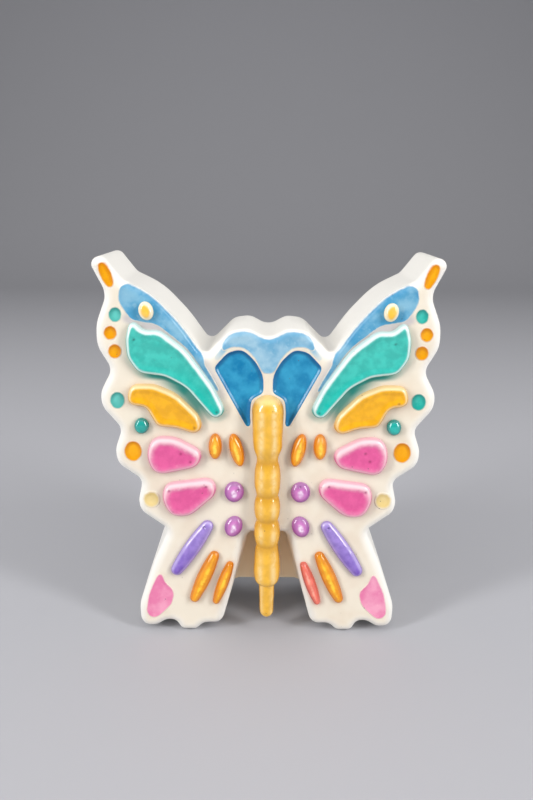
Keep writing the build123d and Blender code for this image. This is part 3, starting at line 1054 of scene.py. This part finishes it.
class AreasOperator(bpy.types.Operator):
    """Lay the coloured glaze areas into the dips of the face"""
    bl_idname = "ornament.areas"
    bl_label = "Glaze areas"

    # For each kind of area: how far its edge fades, in millimetres, how deep its edge is tinted with painted
    # shade, and how uneven the brush has left it
    EDGES = {"field": (0.6, 0.2, 0.6), "panel": (0.2, 0.6, 0.6), "dot": (0.6, 0.5, 0.3)}
    # For each glaze: how it shows where it is thin and where it is thick; the thick tone also colours the
    # painted shade along an area's edge
    TONES = {
        "light_blue_glaze": ((174, 205, 221), (84, 150, 192)),
        "sky_blue_glaze": ((154, 196, 216), (52, 134, 184)),
        "deep_blue_glaze": ((60, 162, 200), (0, 92, 146)),
        "orange_glaze": ((244, 180, 40), (196, 104, 0)),
        "teal_glaze": ((118, 204, 196), (0, 118, 112)),
        "pink_glaze": ((246, 180, 202), (222, 104, 156)),
        "pale_yellow_glaze": ((238, 220, 172), (214, 184, 110)),
    }
    # Areas that got less glaze than others of their kind, and how far they are paler
    THIN = {"upper_teal_dot_left": 0.5, "lower_teal_dot_left": 0.65, "antenna_panel_right": 0.35,
            "foot_petal_left": 0.45, "foot_petal_right": 0.45}
    # Wide fields that run up to the upper rim, and the bare strip they leave there, in millimetres
    OVER_RIM = {"lobe_glaze": 0.45, "forewing_band_left": 0.15, "forewing_band_right": 0.15}
    # Areas whose edge fades over a greater width, in millimetres
    SOFT = {"hindwing_pale_dot_left": 1.2, "hindwing_pale_dot_right": 1.2}

    def execute(self, context):
        if "slab_front" not in bpy.data.objects:
            raise RuntimeError("The slab has to be modelled before its glaze areas")
        slab = BVHTree.FromObject(bpy.data.objects["slab_front"], context.evaluated_depsgraph_get())
        face = Face()
        for node, kind in AREA_KINDS.items():
            piece = self.lay(node, face, slab)
            tone = tone_of(SLOTS[node])
            pale, deep = (linear([v / 255 for v in shown]) for shown in self.TONES[SLOTS[node]])
            tone = mixed(tone, pale, self.THIN.get(node, 0.0))
            fade, edge_shade_share, mottle = self.EDGES[kind]
            fade = self.SOFT.get(node, fade)
            material = area_glaze(f"{node}_glaze", tone, pale, deep, fade, edge_shade_share, mottle)
            finish_piece(piece, node, material=material)
        return {"FINISHED"}

    def lay(self, node, face, slab):
        """Model one glaze area as a thin coat that follows the face."""
        sizes = settings("glaze")
        low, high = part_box(node)
        outline = Outline([self.border(node, face)])
        bm = bmesh.new()
        add_plate(bm, outline.loops, low.y, high.y)
        piece = even_piece(f"glazed_{node}", bm, sizes.grain)
        co = points_of(piece)
        lip = 0.5 * sizes.roll
        inside, out = round_edge(co, outline, low.y + lip, lip, sizes.roll, sizes.grain)
        depth, up = self.clay(co, slab)
        co[:, 1] += depth - low.y
        co += up * sizes.coat
        set_points(piece, co)
        relax(piece, 2)
        note(piece, "edge", inside / MM)
        note(piece, "lift", out[:, 1])
        note(piece, "face", on_face(face.rim.measure(co)[0]))
        return piece

    def border(self, node, face):
        """Loop that the glaze of an area fills. Wide fields run up to the rim where they look up at it."""
        grow = EASE[AREA_KINDS[node]][1]
        soft, out = eased(face.areas[node].loops[0], 0.1 * MM)
        if node not in self.OVER_RIM:
            grow += 0.5 * MM * self.SOFT.get(node, 0.0)
            return corners_of(soft + grow * out)

        def from_rim(spots):
            co = np.column_stack((spots.real, 0.0 * spots.real, spots.imag))
            inside, near, way = face.rim.measure(co)
            return inside, way[:, 0] + 1j * way[:, 1]

        gap = self.OVER_RIM[node] * MM
        to_rim, rim_out = from_rim(soft)
        facing = smooth(((out * rim_out.conj()).real - 0.2) / 0.4) * smooth((out.imag + 0.1) / 0.4)
        room = np.maximum(to_rim - gap, 0.0) * facing * smooth((3.6 * MM - to_rim) / (1.2 * MM))
        run = np.maximum(blurred(room, SPACING, 1.5 * MM).real, grow)
        spots = soft + run * out
        to_rim, rim_out = from_rim(spots)
        spots -= rim_out * np.maximum(gap - to_rim, 0.0)
        return corners_of(eased(corners_of(spots), 0.5 * MM)[0])

    def clay(self, co, slab):
        """Depth of the slab's face under each point, and the way its surface looks there."""
        depth, up = np.empty(len(co)), np.empty((len(co), 3))
        for n, (x, y, z) in enumerate(co.tolist()):
            hit, normal = slab.ray_cast((x, FACE_Y - 10 * MM, z), (0.0, 1.0, 0.0))[:2]
            if not hit:
                hit, normal = slab.find_nearest((x, FACE_Y + 2 * MM, z))[:2]
            depth[n] = hit.y
            up[n] = normal
        return depth, up


class StageOperator(bpy.types.Operator):
    """Set up the plain floor, soft lamps and the camera"""
    bl_idname = "ornament.stage"
    bl_label = "Stage"

    def execute(self, context):
        scene = context.scene
        stage = settings("stage")
        scene.view_settings.view_transform = "Standard"
        self.floor(scene, linear(stage.floor_tone))
        self.lamp(scene, "top_softbox", *TOP_LAMP, stage.top_power)
        (x, y, z), aim, size = SIDE_LAMP
        self.lamp(scene, "left_softbox", (-x, y, z), aim, size, stage.side_power)
        self.lamp(scene, "right_softbox", (x, y, z), aim, size, stage.side_power)
        self.sky(scene, stage.sky)
        camera = bpy.data.objects.new("camera", bpy.data.cameras.new("camera"))
        scene.collection.objects.link(camera)
        camera.data.sensor_width = 36.0
        camera.data.lens = stage.lens
        camera.data.shift_y = stage.rise
        camera.data.clip_start = 0.01
        camera.location = stage.eye
        turn = Euler((math.radians(90.0) - stage.pitch, 0.0, 0.0)).to_matrix()
        lean = Euler((0.0, 0.0, stage.roll)).to_matrix()
        camera.rotation_euler = (turn @ lean).to_euler()
        scene.camera = camera
        return {"FINISHED"}

    def floor(self, scene, tone):
        """A floor that sweeps up behind the ornament."""
        bm = bmesh.new()
        bmesh.ops.create_grid(bm, x_segments=1, y_segments=1, size=FLOOR_SIZE)
        bmesh.ops.scale(bm, vec=(FLOOR_SPREAD, 1.0, 1.0), verts=bm.verts)
        back = [e for e in bm.edges if all(v.co.y > 1.0 for v in e.verts)]
        raised = bmesh.ops.extrude_edge_only(bm, edges=back)["geom"]
        moved = [item for item in raised if isinstance(item, bmesh.types.BMVert)]
        bmesh.ops.translate(bm, vec=(0, 0, BACKDROP_HEIGHT), verts=moved)
        fold = [e for e in bm.edges if all(v.co.y > 1.0 and v.co.z < 0.1 for v in e.verts)]
        bmesh.ops.bevel(bm, geom=fold, offset=FLOOR_BEND, affect="EDGES", segments=16, profile=0.5,
                        material=-1)
        bmesh.ops.recalc_face_normals(bm, faces=bm.faces)
        mesh = bpy.data.meshes.new("floor")
        bm.to_mesh(mesh)
        bm.free()
        mesh.shade_smooth()
        mesh.materials.append(plain("floor_paper", tone))
        floor = bpy.data.objects.new("floor", mesh)
        scene.collection.objects.link(floor)

    def lamp(self, scene, name, place, aim, size, power):
        """A soft rectangular lamp."""
        data = bpy.data.lights.new(name, "AREA")
        data.shape = "RECTANGLE"
        data.size, data.size_y = size
        data.energy = power
        lamp = bpy.data.objects.new(name, data)
        lamp.location = place
        lamp.rotation_euler = (Vector(aim) - Vector(place)).to_track_quat("-Z", "Y").to_euler()
        scene.collection.objects.link(lamp)

    def sky(self, scene, strength):
        """Even light from all round."""
        world = bpy.data.worlds.new("sky")
        scene.world = world
        world.use_nodes = True
        light = world.node_tree.nodes["Background"]
        light.inputs["Color"].default_value = (1.0, 1.0, 1.0, 1.0)
        light.inputs["Strength"].default_value = strength


class OrnamentPanel(bpy.types.Panel):
    """Lists the steps that dress the ornament"""
    bl_idname = "VIEW3D_PT_ornament"
    bl_label = "Butterfly ornament"
    bl_space_type = "VIEW_3D"
    bl_region_type = "UI"
    bl_category = "Ornament"

    def draw(self, context):
        for step in STEPS:
            self.layout.operator(step.bl_idname)
        for name, group in GROUPS.items():
            box = self.layout.box()
            box.label(text=group.__doc__)
            for key in group.__annotations__:
                box.prop(settings(name), key)


GROUPS = {"slab": SlabSizes, "relief": ReliefSizes, "glaze": GlazeSizes, "colours": GlazeColours,
          "stage": StageSettings}
STEPS = (SlabOperator, BodyOperator, CellsOperator, BeadsOperator, BarsOperator, AreasOperator, StageOperator)


def register():
    """Register the settings, the steps and the panel."""
    for name, group in GROUPS.items():
        bpy.utils.register_class(group)
        setattr(bpy.types.Scene, f"ornament_{name}", PointerProperty(type=group))
    for step in STEPS:
        bpy.utils.register_class(step)
    bpy.utils.register_class(OrnamentPanel)


def unregister():
    """Remove what register added."""
    bpy.utils.unregister_class(OrnamentPanel)
    for step in reversed(STEPS):
        bpy.utils.unregister_class(step)
    for name, group in reversed(GROUPS.items()):
        delattr(bpy.types.Scene, f"ornament_{name}")
        bpy.utils.unregister_class(group)


def main():
    """Dress the ornament."""
    register()
    for step in STEPS:
        group, name = step.bl_idname.split(".")
        getattr(getattr(bpy.ops, group), name)()


if __name__ == "__main__":
    main()
